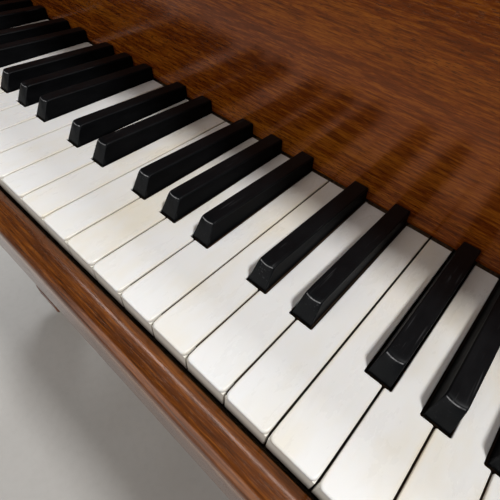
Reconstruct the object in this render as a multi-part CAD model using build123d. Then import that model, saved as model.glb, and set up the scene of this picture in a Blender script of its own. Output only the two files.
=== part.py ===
from build123d import *
import math
import os

# Baby grand piano, 88 keys.  Millimetres.
# Frame: X to the treble side, Y from the player to the tail, Z up.
# Origin: on the floor, under the middle of the overall box.

os.makedirs("parts", exist_ok=True)

# ---------------------------------------------------------------- driving dimensions
WHITE_PITCH = 23.5          # one natural key
N_WHITE = 52
KEY_X0 = -WHITE_PITCH * N_WHITE / 2   # left edge of the lowest key
KEY_Y0 = -725.0             # front face of the naturals
KEY_Z0 = 730.0              # top of the naturals
KEY_GAP = 1.0
HEAD_L = 49.2               # front of a natural, up to the sharps
TAIL_END = 145.0            # visible length of the key tops
KEY_LEN = 400.0             # whole stick
STICK_Z0, STICK_Z1 = -25.0, -2.5
APRON = 14.2                # height of a natural's front face
TOP_T = 2.5
NOTCH_W = 13.5
SHARP_W = 11.3
SHARP_TOP_W = 9.3
SHARP_H = 12.5              # at the crown; the top falls towards the rear
SHARP_H1 = 9.4
SHARP_Y0 = 50.5
PIVOT_Y, PIVOT_Z = 232.0, -25.0
SHARP_OFF = {1: -2.7, 3: 2.0, 6: -3.1, 8: 0.0, 10: 3.1}   # sharp centre from its white boundary

CASE_X = 727.0              # outer face of the rim
CASE_Y0 = -760.0            # front of the arms
CASE_Y1 = 752.0             # back of the rim
RIM_T = 50.0
INNER_RIM_T = 45.0
ARM_IN = CASE_X - RIM_T
Z_BED0, Z_BED1 = 621.0, 666.0
Z_SB0, Z_SB1 = 817.0, 825.0
Z_RIM = 965.0
R_CHEEK, A_CHEEK = 300.0, 55.0
L_BENT = 420.0
R_WAIST, A_WAIST = 900.0, 25.0
R_TAIL, A_TAIL = 260.0, 60.0
R_CORNER = 230.0
LID_OVER = 8.0
LID_T = 22.0
LID_Z = Z_RIM + 0.5
LID_FRONT = -335.0
SHELF_Y = -547.0            # front edge of the music shelf and its rails
FLAP_W = 259.5
FB_PIVOT = (160.2, 31.5)    # fallboard hinge line, from the key front and key top
FB_LEAN = 0.0
FB_LEN = 181.2
STRIKE_Y = -295.0
AGRAFFE_Y = -319.0
STRING_Z = 863.0
BASS_Z = 878.0
N_BASS = 26                 # notes on the bass bridge


# ---------------------------------------------------------------- helpers
def box(x0, x1, y0, y1, z0, z1):
    return Pos((x0 + x1) / 2, (y0 + y1) / 2, (z0 + z1) / 2) * Box(x1 - x0, y1 - y0, z1 - z0)


def cyl(r, p, q):
    """Round bar from p to q."""
    p, q = Vector(*p), Vector(*q)
    return Plane(origin=p, z_dir=q - p) * Cylinder(r, (q - p).length, align=(Align.CENTER, Align.CENTER, Align.MIN))


def poly_x(pts, x0, x1):
    """Prism along X of a (y, z) outline."""
    f = Face(Wire.make_polygon([Vector(x0, y, z) for y, z in pts], close=True))
    s = Solid.extrude(f, Vector(x1 - x0, 0, 0))
    return s


def poly_z(pts, z0, z1):
    f = Face(Wire.make_polygon([Vector(x, y, z0) for x, y in pts], close=True))
    return Solid.extrude(f, Vector(0, 0, z1 - z0))


def solids_of(items):
    out = []
    for i in items:
        out += list(i.solids())
    return out


def save(name, *items):
    s = solids_of(items)
    export_step(Compound(children=s) if len(s) > 1 else s[0], f"parts/{name}.step")
    return s


def deg(a):
    return math.cos(math.radians(a)), math.sin(math.radians(a))


# ---------------------------------------------------------------- case outline
# From the treble arm's front round the tail to the bass arm's front: straight, cheek,
# bent side, waist, tail, back, corner, straight.
def case_edges(off, y_front):
    edges = []
    sx = CASE_X + off
    # end of the treble straight, so that the back of the rim lands on CASE_Y1
    x, y, h = 0.0, 0.0, 90.0
    dy = (R_CHEEK * deg(A_CHEEK)[1] + L_BENT * deg(90 - A_CHEEK)[1]
          + R_WAIST * (deg(A_CHEEK)[1] - deg(A_CHEEK - A_WAIST)[1]) + R_TAIL * (1 - deg(90 + A_CHEEK - A_WAIST - 90)[1]))
    p = Vector(sx, CASE_Y1 - dy)
    edges.append(Line((sx, y_front), (p.X, p.Y)))
    h = 90.0

    def arc(p, h, r, a):
        """Tangent arc, left for a > 0; returns its edge, end and heading."""
        s = 1 if a > 0 else -1
        nx, ny = deg(h + 90 * s)
        c = Vector(p.X + nx * r, p.Y + ny * r)
        pts = []
        for t in (0.5, 1.0):
            ux, uy = deg(h - 90 * s + a * t)
            pts.append(Vector(c.X + ux * r, c.Y + uy * r))
        return ThreePointArc(p, pts[0], pts[1]), pts[1], h + a

    e, p, h = arc(p, h, R_CHEEK + off, A_CHEEK); edges.append(e)
    ux, uy = deg(h); q = Vector(p.X + ux * L_BENT, p.Y + uy * L_BENT)
    edges.append(Line(p, q)); p = q
    e, p, h = arc(p, h, R_WAIST - off, -A_WAIST); edges.append(e)
    e, p, h = arc(p, h, R_TAIL + off, A_TAIL); edges.append(e)
    q = Vector(-CASE_X + R_CORNER, p.Y)
    edges.append(Line(p, q)); p = q
    e, p, h = arc(p, h, R_CORNER + off, 90.0); edges.append(e)
    edges.append(Line(p, (-sx, y_front)))
    return edges


def case_face(off, y_front):
    e = case_edges(off, y_front)
    a, b = (CASE_X + off, y_front), (-CASE_X - off, y_front)
    return Face(Wire(e + [Line(b, a)]))


def slab(off, y_front, z0, z1):
    return Pos(0, 0, z0) * extrude(case_face(off, y_front), amount=z1 - z0, dir=(0, 0, 1))


# ---------------------------------------------------------------- rim, inner rim, keybed
rim = slab(0, CASE_Y0, Z_BED0, Z_RIM) - slab(-RIM_T, CASE_Y0 - 50, Z_BED0 - 1, Z_RIM + 1)
# arms: low at the front, rising in an S curve to the full height behind the fallboard's cheek
arm = [Line((CASE_Y0 - 5, 790), (-735, 790)), Spline([(-735, 790), (-684, 800), (-640, 850), (-600, Z_RIM)], tangents=[(1, 0), (0.18, 1)]),
       Line((-600, Z_RIM), (-600, Z_RIM + 5)), Line((-600, Z_RIM + 5), (CASE_Y0 - 5, Z_RIM + 5)), Line((CASE_Y0 - 5, Z_RIM + 5), (CASE_Y0 - 5, 790))]
arm_cut = Plane(origin=(-800, 0, 0), x_dir=(0, 1, 0), z_dir=(1, 0, 0)) * extrude(Face(Wire(arm)), amount=1600, dir=(0, 0, 1))
rim = rim - arm_cut
# round the two front top corners of the arms
edges = [e for e in rim.edges() if abs(e.center().Y - CASE_Y0) < 0.5 and abs(e.center().Z - 790) < 0.5]
try:
    rim = fillet(edges, 12)
except Exception:
    print("arm corner left square")
# pockets for the fallboard's end pins
for s in (-1, 1):
    rim = rim - cyl(4.4, (s * (ARM_IN - 1), KEY_Y0 + FB_PIVOT[0], KEY_Z0 + FB_PIVOT[1]), (s * (ARM_IN + 16), KEY_Y0 + FB_PIVOT[0], KEY_Z0 + FB_PIVOT[1]))
save("rim", rim)
inner = slab(-RIM_T, -262.0, Z_BED0, Z_SB0) - slab(-RIM_T - INNER_RIM_T, -300.0, Z_BED0 - 1, Z_SB0 + 1)
save("inner_rim", inner)

ROD_Y = -529.0
PEDAL_X = (-62.0, 0.0, 62.0)
bed = box(-ARM_IN, ARM_IN, KEY_Y0 - 8, -262, Z_BED0, Z_BED1)
for x in PEDAL_X:
    bed = bed - cyl(5.5, (x, ROD_Y, Z_BED0 - 1), (x, ROD_Y, Z_BED1 + 1))
save("keybed", bed)

# ---------------------------------------------------------------- rails and braces inside the case
belly = box(-632, 632, -262, -230, Z_BED0, Z_SB0)
stretcher = box(-ARM_IN, ARM_IN, -530, -510, 770, 902.5)
b1 = box(-420, -360, -230, 640, Z_BED0 + 10, 760)
inside = slab(-RIM_T - INNER_RIM_T, -230.0, Z_BED0, Z_SB0)
def beam(p, q, w, z0, z1):
    p, q = Vector(*p), Vector(*q)
    d = (q - p).normalized()
    n = Vector(-d.Y, d.X) * (w / 2)
    return poly_z([(v.X, v.Y) for v in (p + n, p - n, q - n, q + n)], z0, z1)
br = []
for p, q in (((-420, -300), (-420, 800)), ((-110, -300), (-240, 800)), ((180, -300), (60, 800)), ((470, -300), (330, 700))):
    br.append(beam(p, q, 58, 640, 755) & inside)
save("case_rails", belly, stretcher, *br)

# ---------------------------------------------------------------- soundboard, bridges
def note_info():
    """Per note: number, white index or None, left edge of its octave box, pitch class."""
    out = []
    w = 0
    for n in range(88):
        pc = (n + 9) % 12
        white = pc in (0, 2, 4, 5, 7, 9, 11)
        if white:
            out.append((n, pc, True, KEY_X0 + w * WHITE_PITCH)); w += 1
        else:
            out.append((n, pc, False, KEY_X0 + w * WHITE_PITCH + SHARP_OFF[pc]))
    return out


NOTES = note_info()


def tail_range(n):
    """X range of a natural's tail."""
    _, pc, _, x = NOTES[n]
    lo, hi = x + KEY_GAP / 2, x + WHITE_PITCH - KEY_GAP / 2
    if n > 0 and not NOTES[n - 1][2]:
        lo = NOTES[n - 1][3] + NOTCH_W / 2
    if n < 87 and not NOTES[n + 1][2]:
        hi = NOTES[n + 1][3] - NOTCH_W / 2
    return lo, hi


def stick_x(n):
    if NOTES[n][2]:
        lo, hi = tail_range(n)
        if hi - lo > 17:                      # the two end keys
            return (hi - 7.2) if n == 0 else (lo + 7.2)
        return (lo + hi) / 2
    return NOTES[n][3]


SX = [stick_x(n) for n in range(88)]


def string_line(n):
    """Direction angle from +Y (positive to the bass side), speaking length, height."""
    if n < N_BASS:
        t = n / (N_BASS - 1)
        return -(19.5 - 5.0 * t), 950 - 250 * t, BASS_Z
    t = (87 - n) / (87 - N_BASS)
    return 15.0 * t ** 0.8 + 1.0, 52 * 2 ** ((87 - n) * 0.0675), STRING_Z


def along(n, d, dx=0.0):
    a, L, z = string_line(n)
    c, s = deg(a)
    return SX[n] + dx - s * d, AGRAFFE_Y + c * d


sb = slab(-RIM_T - 0.5, -262.0, Z_SB0, Z_SB1)
ribs = []
for i, c in enumerate((-560, -400, -240, -80, 80, 240)):
    # ribs run from front left to back right, under the board
    r = beam((c - 300, -262), (c + 500, 720), 24, Z_SB0 - 20, Z_SB0)
    clear = slab(-RIM_T - INNER_RIM_T - 3, -229.0, Z_SB0 - 21, Z_SB0)
    ribs.append(r & clear)
save("soundboard", sb, *ribs)


def bridge(notes, w, z0, z1):
    pts = [along(n, string_line(n)[1]) for n in notes]
    # extend both ends by 18 mm
    def ext(a, b):
        v = Vector(a[0] - b[0], a[1] - b[1]).normalized() * 18
        return (a[0] + v.X, a[1] + v.Y)
    pts = [ext(pts[0], pts[1])] + pts + [ext(pts[-1], pts[-2])]
    lo, hi = [], []
    for i, p in enumerate(pts):
        a, b = pts[max(0, i - 1)], pts[min(len(pts) - 1, i + 1)]
        d = Vector(b[0] - a[0], b[1] - a[1]).normalized()
        lo.append((p[0] - d.Y * w / 2, p[1] + d.X * w / 2))
        hi.append((p[0] + d.Y * w / 2, p[1] - d.X * w / 2))
    e = [Spline([Vector(*p) for p in lo]), Spline([Vector(*p) for p in hi]), Line(lo[0], hi[0]), Line(lo[-1], hi[-1])]
    return Pos(0, 0, z0) * extrude(Face(Wire(e)), amount=z1 - z0, dir=(0, 0, 1)), lo, hi


long_notes = list(range(N_BASS, 88, 6)) + [87]
bass_notes = [0, 8, 16, 25]
lb, lb_lo, lb_hi = bridge(long_notes, 30, Z_SB1, STRING_Z - 1.0)
bb, bb_lo, bb_hi = bridge(bass_notes, 32, Z_SB1, BASS_Z - 2.1)
save("bridges", lb, bb)

# ---------------------------------------------------------------- pin block and iron plate
PB_Y0, PB_Y1 = -506.0, -336.0
save("pin_block", box(-ARM_IN, ARM_IN, PB_Y0, PB_Y1, 812, 850.5))

plate_off = -RIM_T - 6
plate = slab(plate_off, -506.0, 851.0, 858.5)
flange = slab(plate_off, -250.0, Z_SB1, 851.0) - slab(plate_off - 40, -300.0, Z_SB1 - 1, 852.0)
# the flange stops short of the bridge ends
plate = plate + flange
# opening for the bridges and the speaking strings
op = [(-612, -316), (616, -316), (616, -262)]
side = lb_lo if sum(p[1] for p in lb_lo) < sum(p[1] for p in lb_hi) else lb_hi
outer = lb_hi if side is lb_lo else lb_lo
rear = []
for i in range(len(outer)):
    a, b = side[i], outer[i]
    v = Vector(b[0] - a[0], b[1] - a[1]).normalized() * 14
    rear.append((b[0] + v.X, b[1] + v.Y))
rear.sort(key=lambda p: -p[0])
rear = [(min(p[0], 616), max(p[1], -262.0 + 6)) for p in rear]
op += [p for p in rear if p[0] > -600] + [(-612, rear[-1][1])]
opening = poly_z(op, 820, 870)
inside2 = slab(plate_off - 46, -320.0, 820, 870)
opening = opening & inside2
plate = plate - opening
# slot round the bass bridge
def grow(lo, hi, m):
    pts = []
    n = len(lo)
    for i in range(n):
        v = Vector(lo[i][0] - hi[i][0], lo[i][1] - hi[i][1]).normalized() * m
        e = Vector(0, 0)
        j, k = (1, 0) if i == 0 else ((n - 2, n - 1) if i == n - 1 else (0, 0))
        if i in (0, n - 1):
            e = Vector(lo[k][0] - lo[j][0], lo[k][1] - lo[j][1]).normalized() * m
        pts.append(((lo[i][0] + v.X + e.X, lo[i][1] + v.Y + e.Y), (hi[i][0] - v.X + e.X, hi[i][1] - v.Y + e.Y)))
    return [p[0] for p in pts] + [p[1] for p in reversed(pts)]
plate = plate - poly_z(grow(bb_lo, bb_hi, 10), 820, 870)
# agraffe bars: bass higher than treble
xb = (SX[N_BASS - 1] + SX[N_BASS]) / 2
plate = plate + box(-640, xb - 0.5, AGRAFFE_Y - 7, AGRAFFE_Y, 851, 883) + box(xb + 0.5, 640, AGRAFFE_Y - 7, AGRAFFE_Y, 851, 868)
# struts above the strings: bars on thin posts between the strings in front and on broad feet behind
def strut(p, q):
    v = (Vector(*q) - Vector(*p)).normalized() * 24
    top = beam(p, q, 22, 900, 914)
    front = box(p[0] - 2.4, p[0] + 2.4, -340, -327, 858.5, 900)
    foot = beam((q[0] - v.X, q[1] - v.Y), q, 22, 858.5, 900)
    return top, front, foot
STRUTS = (((xb, -334), (-330, 700)), (((SX[52] + SX[53]) / 2, -334), (215, 110)), (((SX[71] + SX[72]) / 2, -334), (420, 30)))
struts = []
for p, q in STRUTS:
    struts += list(strut(p, q))
# hitch pins stand on the rear of the plate
save("iron_plate", plate, *struts)

# ---------------------------------------------------------------- tuning pins, hitch pins and strings
pins, plain, wound = [], [], []
PIN_R = 3.0
ROWS = (-362.0, -402.0, -442.0)
pin_t = Cylinder(PIN_R, 68, align=(Align.CENTER, Align.CENTER, Align.MIN))
pin_b = Cylinder(PIN_R, 83, align=(Align.CENTER, Align.CENTER, Align.MIN))
holes = []
for n in range(88):
    a, L, z = string_line(n)
    if n < 10:
        dxs, r = (0.0,), 2.0
    elif n < N_BASS:
        dxs, r = (-2.2, 2.2), 1.3
    else:
        dxs, r = (-3.0, 0.0, 3.0), 0.55
    for k, dx in enumerate(dxs):
        c, s = deg(a)
        tail = 78.0 if n >= N_BASS else 58.0
        x0, y0 = SX[n] + dx, AGRAFFE_Y
        x1, y1 = x0 - s * (L + tail), y0 + c * (L + tail)
        row = ROWS[k] - (8 if n % 2 else 0)
        d0 = 0.05 + r * abs(s) / c
        line = [cyl(r, (x0 - s * d0, y0 + c * d0, z), (x1, y1, z)), cyl(r, (x0, y0 - 7.05, z), (x0, row, z))]
        (wound if n < N_BASS else plain).extend(line)
        pins.append(Pos(x0 - r - PIN_R - 0.05, row, 820.5) * (pin_b if n < N_BASS else pin_t))
        # hitch pin just past the string's end
        pins.append(Pos(x1 - s * (2.2), y1 + c * 2.2, 858.5) * Cylinder(2.0, z - 858.5 + 4, align=(Align.CENTER, Align.CENTER, Align.MIN)))
save("tuning_and_hitch_pins", *pins)
save("plain_strings", *plain)
save("wound_strings", *wound)

# ---------------------------------------------------------------- key slip and key blocks
def local(y, z):
    return KEY_Y0 + y, KEY_Z0 + z


def arc_pts(cy, cz, r, a0, a1, n=6):
    return [(cy + r * deg(a0 + (a1 - a0) * i / n)[0], cz + r * deg(a0 + (a1 - a0) * i / n)[1]) for i in range(n + 1)]


sl = Face(Wire([Line((-2.0, -64), (-2.0, -12.5)), ThreePointArc((-2.0, -12.5), (-2 - 4.5 + 4.5 * 0.7071, -12.5 + 4.5 * 0.7071), (-6.5, -8.0)),
                Line((-6.5, -8.0), (-13.5, -8.0)), ThreePointArc((-13.5, -8.0), (-13.5 - 6 * 0.7071, -14 + 6 * 0.7071), (-19.5, -14.0)),
                Line((-19.5, -14.0), (-17.5, -64)), Line((-17.5, -64), (-2.0, -64))]))
slip = Plane(origin=(-ARM_IN + 0.5, KEY_Y0, KEY_Z0), x_dir=(0, 1, 0), z_dir=(1, 0, 0)) * extrude(sl, amount=2 * ARM_IN - 1, dir=(0, 0, 1))
save("key_slip", slip)
blk = [(-1.5, -64), (-1.5, -8), (14, -8), (30, 2), (60, 10), (100, 12), (143, 12), (143, -64)]
blocks = [poly_x([local(y, z) for y, z in blk], x0, x1) for x0, x1 in ((-676.5, -614.5), (614.5, 676.5))]
save("key_blocks", *blocks)

# ---------------------------------------------------------------- legs, lyre
LEGS = ((-640.0, -640.0), (640.0, -640.0), (-395.0, 610.0))
LEG_Z0 = 72.0
legs = []
for x, y in LEGS:
    top = Pos(x, y, 555) * extrude(RectangleRounded(126, 126, 8), amount=66)
    shaft = Pos(x, y, 555) * extrude(RectangleRounded(112, 112, 8), amount=-455, taper=2.1)
    cuff = Pos(x, y, LEG_Z0) * extrude(RectangleRounded(86, 86, 6), amount=28.5)
    leg = top + shaft + cuff - cyl(7.0, (x, y, LEG_Z0 - 1), (x, y, LEG_Z0 + 34))
    legs.append(leg)
save("legs", *legs)

LY0, LY1, LZ0, LZ1 = -605.0, -505.0, 66.0, 130.0
PED_Y, PED_Z = -560.0, 96.5
lyre = box(-165, 165, LY0, LY1, LZ0, LZ1) - box(-157, 157, LY0 + 8, LY1 - 8, LZ0 + 8, LZ1 - 8)
for x in PEDAL_X:
    lyre = lyre - box(x - 13.5, x + 13.5, LY0 - 1, LY0 + 9, 76, 106)
    lyre = lyre - cyl(5.5, (x, ROD_Y, LZ1 - 9), (x, ROD_Y, LZ1 + 1))
    for s in (-1, 1):
        lyre = lyre + box(x + s * 15 - 3, x + s * 15 + 3, PED_Y - 9, PED_Y + 9, LZ0 + 7.5, 106) - cyl(4.3, (x + s * 15 - 4, PED_Y, PED_Z), (x + s * 15 + 4, PED_Y, PED_Z))
lyre = lyre + box(-130, 130, LY0 + 10, LY1, 597, Z_BED0)
for s in (-1, 1):
    lyre = lyre + (Pos(s * 88, PED_Y - 3, LZ1 - 1) * extrude(RectangleRounded(34, 34, 6), amount=598 - LZ1 + 1))
for x in PEDAL_X:
    lyre = lyre - cyl(5.5, (x, ROD_Y, 590), (x, ROD_Y, Z_BED0 + 1))
save("lyre", lyre)
braces = []
for s in (-1, 1):
    b = cyl(6, (s * 120, LY1 + 2.5, 104), (s * 120, -290, 617.5)) + cyl(20, (s * 120, -290, 616), (s * 120, -290, Z_BED0)) + box(s * 120 - 12, s * 120 + 12, LY1, LY1 + 4, 92, 116)
    braces.append(b - box(-200, 200, LY1 - 40, LY1, 50, 160))
save("lyre_braces", *braces)

PEDALS = ("soft_pedal", "sostenuto_pedal", "damper_pedal")
for name, x in zip(PEDALS, PEDAL_X):
    yr, yn, yw, yt, tip = PED_Y + 39, PED_Y - 53, PED_Y - 75, PED_Y - 89, PED_Y - 101.5
    plan = Face(Wire([Line((x - 7.5, yr), (x - 7.5, yn)), Spline([(x - 7.5, yn), (x - 12.5, yw), (x - 12.5, yt)], tangents=[(0, -1), (0, -1)]),
                      ThreePointArc((x - 12.5, yt), (x, tip), (x + 12.5, yt)), Spline([(x + 12.5, yt), (x + 12.5, yw), (x + 7.5, yn)], tangents=[(0, 1), (0, 1)]),
                      Line((x + 7.5, yn), (x + 7.5, yr)), Line((x + 7.5, yr), (x - 7.5, yr))]))
    p = Pos(0, 0, 93) * extrude(plan, amount=7, dir=(0, 0, 1))
    try:
        p = fillet([e for e in p.edges() if e.center().Z > 99.9 and e.center().Y < yn + 2], 2.5)
    except Exception:
        print("pedal edge left sharp")
    p = p + cyl(4.0, (x - 17.5, PED_Y, PED_Z), (x + 17.5, PED_Y, PED_Z))
    save(name, p)
for name, x in zip(("soft_rod", "sostenuto_rod", "damper_rod"), PEDAL_X):
    save(name, cyl(4.0, (x, ROD_Y, 100.6), (x, ROD_Y, 655)) + Pos(x, ROD_Y, 145) * Cylinder(6.0, 12))

# ---------------------------------------------------------------- casters
WH_R, WH_W, TRAIL = 24.0, 22.0, 14.0
for i, (name, (x, y)) in enumerate(zip(("bass", "treble", "tail"), LEGS)):
    f = cyl(6.0, (x, y, 60), (x, y, LEG_Z0 + 30)) + cyl(26, (x, y, 60), (x, y, 69))
    f = f + box(x - 16, x + 16, y - 6, y + TRAIL + 12, 56, 62)
    for s in (-1, 1):
        cheek = poly_x([(y - 4, 58), (y + TRAIL + 10, 58), (y + TRAIL + 9, 17), (y + TRAIL - 9, 17)], x + (12 if s > 0 else -16), x + (16 if s > 0 else -12))
        f = f + cheek
    f = f + cyl(3.0, (x - 17.5, y + TRAIL, WH_R), (x + 17.5, y + TRAIL, WH_R))
    save(f"{name}_caster_fork", f)
    w = cyl(WH_R, (x - WH_W / 2, y + TRAIL, WH_R), (x + WH_W / 2, y + TRAIL, WH_R)) - cyl(3.3, (x - 20, y + TRAIL, WH_R), (x + 20, y + TRAIL, WH_R))
    try:
        w = fillet([e for e in w.edges() if e.geom_type == GeomType.CIRCLE and e.radius > 20], 2.5)
    except Exception:
        print("wheel edge left sharp")
    save(f"{name}_caster_wheel", w)

# ---------------------------------------------------------------- lid, flap, hinges, prop
lid = slab(LID_OVER, LID_FRONT, LID_Z, LID_Z + LID_T)
try:
    lid = fillet([e for e in lid.edges() if abs(e.center().Z - LID_Z - LID_T) < 0.1 and e.center().Y > LID_FRONT + 5], 3)
except Exception:
    print("lid edge left sharp")
# catch block on the underside for the prop
lid = lid + box(560, 590, -150, -110, LID_Z - 10, LID_Z + 1)
save("lid", lid)
FX = CASE_X + LID_OVER
FLAP_AX = (LID_FRONT, LID_Z + LID_T + 0.5)
flap = box(-FX, FX, LID_FRONT + 0.5, LID_FRONT + 0.5 + FLAP_W, LID_Z + LID_T + 1.0, LID_Z + 2 * LID_T + 1.0)
try:
    flap = fillet(flap.edges().filter_by(Axis.Z).group_by(Axis.Y)[-1], 18)
    flap = fillet([e for e in flap.edges() if e.center().Y > LID_FRONT + 20], 2)
except Exception:
    print("flap edge left sharp")
save("lid_flap", flap)
# butt hinges along the bass side, and the knuckles of the flap's long hinge
hin = []
for y in (-200.0, 380.0):
    hin.append(cyl(5, (-CASE_X - 3.5, y - 45, LID_Z - 8), (-CASE_X - 3.5, y + 45, LID_Z - 8)) & box(-800, -CASE_X, y - 50, y + 50, 900, 1000))
save("lid_hinges", *hin)
prop = cyl(7, (628, -470, 893), (628, -25, 893)) + box(620, 676.5, -490, -468, 886, 900)
save("lid_prop", prop)

# ---------------------------------------------------------------- music desk on its sliding shelf
rails = [box(645, 677, SHELF_Y, -270, 903, 917.5), box(-677, -645, SHELF_Y, -270, 903, 917.5)]
save("desk_rails", *rails)
shelf = box(-642, 642, SHELF_Y, -333, 918, 930)
shelf = shelf - box(-560, 560, -500, -360, 910, 940) + box(-40, 40, -500, -360, 918, 930)
shelf = shelf + box(-672, -642, SHELF_Y, -333, 918, 930) + box(642, 672, SHELF_Y, -333, 918, 930)
save("music_shelf", shelf)
DK_Y, DK_Z = -517.0, 944.0
desk = box(-480, 480, DK_Y, DK_Y + 178, DK_Z - 12, DK_Z)
try:
    desk = fillet([e for e in desk.edges().filter_by(Axis.Z) if e.center().Y > DK_Y + 100], 40)
except Exception:
    print("desk corner left square")
desk = desk + box(-470, 470, DK_Y + 0.5, DK_Y + 8.5, DK_Z - 1, DK_Z + 13)
for s in (-1, 1):
    desk = desk + cyl(3.5, (s * 470, DK_Y + 3.5, DK_Z - 3.5), (s * 494, DK_Y + 3.5, DK_Z - 3.5))
save("music_desk", desk)

# ---------------------------------------------------------------- fallboard
def fb(u, v):
    c, s = deg(FB_LEAN)
    return KEY_Y0 + FB_PIVOT[0] + u * c + v * s, KEY_Z0 + FB_PIVOT[1] - u * s + v * c


L = FB_LEN
prof = [(-13, -31), (6, -31), (6, L), (-38, L), (-38, L - 17), (-13, L - 17)]
board = poly_x([fb(*p) for p in prof], -675.5, 675.5)
try:
    pts = [fb(-38, L), fb(-38, L - 17), fb(6, L)]
    es = [e for e in board.edges().filter_by(Axis.X) if any(abs(e.center().Y - y) < 0.3 and abs(e.center().Z - z) < 0.3 for y, z in pts)]
    board = fillet(es, 5)
except Exception:
    print("fallboard lip left sharp")
for s in (-1, 1):
    board = board + cyl(4.0, (s * 670, KEY_Y0 + FB_PIVOT[0], KEY_Z0 + FB_PIVOT[1]), (s * 690, KEY_Y0 + FB_PIVOT[0], KEY_Z0 + FB_PIVOT[1]))
save("fallboard", board)

# ---------------------------------------------------------------- keys
def white_key(n):
    _, pc, _, x = NOTES[n]
    x0, x1 = x + KEY_GAP / 2, x + WHITE_PITCH - KEY_GAP / 2
    t0, t1 = tail_range(n)
    # plan of the key top: rounded front corners, notches beside the sharps
    r = 2.6
    e = [ThreePointArc((x0, r), (x0 + r * (1 - 0.7071), r * (1 - 0.7071)), (x0 + r, 0)), Line((x0 + r, 0), (x1 - r, 0)),
         ThreePointArc((x1 - r, 0), (x1 - r * (1 - 0.7071), r * (1 - 0.7071)), (x1, r))]
    right = [(x1, r)] + ([(x1, HEAD_L), (t1, HEAD_L)] if t1 < x1 - 0.1 else []) + [(t1, TAIL_END)]
    left = [(t0, TAIL_END)] + ([(t0, HEAD_L), (x0, HEAD_L)] if t0 > x0 + 0.1 else []) + [(x0, r)]
    pts = right + left
    for a, b in zip(pts[:-1], pts[1:]):
        e.append(Line(a, b))
    top = Pos(0, 0, -TOP_T) * extrude(Face(Wire(e)), amount=TOP_T, dir=(0, 0, 1))
    try:
        top = fillet([q for q in top.edges() if abs(q.center().Z) < 0.01 and q.center().Y < HEAD_L - 1], 1.1)
    except Exception:
        print("key top edge left sharp", n)
    try:
        top = fillet([q for q in top.edges() if abs(q.center().Z) < 0.01 and HEAD_L - 1 < q.center().Y < TAIL_END - 2], 0.5)
    except Exception:
        print("tail edge left sharp", n)
    # the apron: a square-cornered front face that hangs below the top
    top = top + box(x0, x1, 0.35, 2.4, -APRON, -TOP_T + 0.001)
    sx = SX[n]
    s0, s1 = max(t0, sx - 7.2), min(t1, sx + 7.2)
    stick = box(x0, x1, 2.4, HEAD_L, STICK_Z0, -TOP_T) + box(t0, t1, HEAD_L - 0.01, TAIL_END, STICK_Z0, -TOP_T)
    stick = stick + box(s0, s1, TAIL_END - 0.01, KEY_LEN, STICK_Z0, STICK_Z1)
    stick = stick - cyl(3.2, (sx, PIVOT_Y, -26), (sx, PIVOT_Y, 0)) - box((x0 + x1) / 2 - 3, (x0 + x1) / 2 + 3, 18, 32, -26, -12)
    capstan = cyl(3.0, (sx, 310, STICK_Z1), (sx, 310, 10))
    m = Pos(0, KEY_Y0, KEY_Z0)
    return [m * stick, m * top, m * capstan]


def sharp_top():
    """A sharp centred on X = 0: flat top, sloped rounded front, tapering sides."""
    w0, w1, h = SHARP_W / 2, SHARP_TOP_W / 2, SHARP_H
    y0, y1 = SHARP_Y0, TAIL_END
    lo = Face(Wire.make_polygon([Vector(-w0, y0, -1), Vector(w0, y0, -1), Vector(w0, y1, -1), Vector(-w0, y1, -1)], close=True))
    hi = Face(Wire.make_polygon([Vector(-w1, y0 + 1.2, h), Vector(w1, y0 + 1.2, h), Vector(w1, y1, h), Vector(-w1, y1, h)], close=True))
    body = loft([lo, hi])
    fall = Face(Wire.make_polygon([Vector(-10, y0 + 9.5, h), Vector(-10, y1 + 1, SHARP_H1 - 0.03), Vector(-10, y1 + 1, h + 2), Vector(-10, y0 + 9.5, h + 2)], close=True))
    body = body - Solid.extrude(fall, Vector(20, 0, 0))
    # front slope, slightly hollow at the foot and convex at the crown, and bowed in plan
    cut = Face(Wire([Spline([(y0 - 0.2, 0.8), (y0 + 2.15, 5.2), (y0 + 4.95, 10.2), (y0 + 7.4, h + 0.5)], tangents=[(0.3, 1), (0.9, 0.6)]),
                     Line((y0 + 7.4, h + 0.5), (y0 + 7.4, h + 4)), Line((y0 + 7.4, h + 4), (y0 - 5, h + 4)), Line((y0 - 5, h + 4), (y0 - 5, 0.8)), Line((y0 - 5, 0.8), (y0 - 0.2, 0.8))]))
    body = body - Plane(origin=(-10, 0, 0), x_dir=(0, 1, 0), z_dir=(1, 0, 0)) * extrude(cut, amount=20, dir=(0, 0, 1))
    try:
        es = [e for e in body.edges() if e.center().Z > 1.5 and e.center().Y < y1 - 1 and not (e.center().Z < 2.0)]
        body = fillet(es, 1.1)
    except Exception:
        try:
            body = fillet([e for e in body.edges() if e.center().Z > h - 0.2 and e.center().Y > y0 + 8 and e.center().Y < y1 - 1], 1.0)
            print("sharp: only the long edges rounded")
        except Exception:
            print("sharp edge left sharp")
    return body


SHARP = sharp_top()


def black_key(n):
    x = NOTES[n][3]
    w = SHARP_W / 2
    stick = box(-w, w, SHARP_Y0 + 0.5, TAIL_END, STICK_Z0, -1) + box(-w, w, TAIL_END - 0.01, KEY_LEN, STICK_Z0, STICK_Z1)
    stick = stick - cyl(3.2, (0, PIVOT_Y, -26), (0, PIVOT_Y, 0)) - box(-3, 3, 68, 82, -26, -12)
    capstan = cyl(3.0, (0, 310, STICK_Z1), (0, 310, 10))
    m = Pos(x, KEY_Y0, KEY_Z0)
    return [m * stick, m * SHARP, m * capstan]


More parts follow.
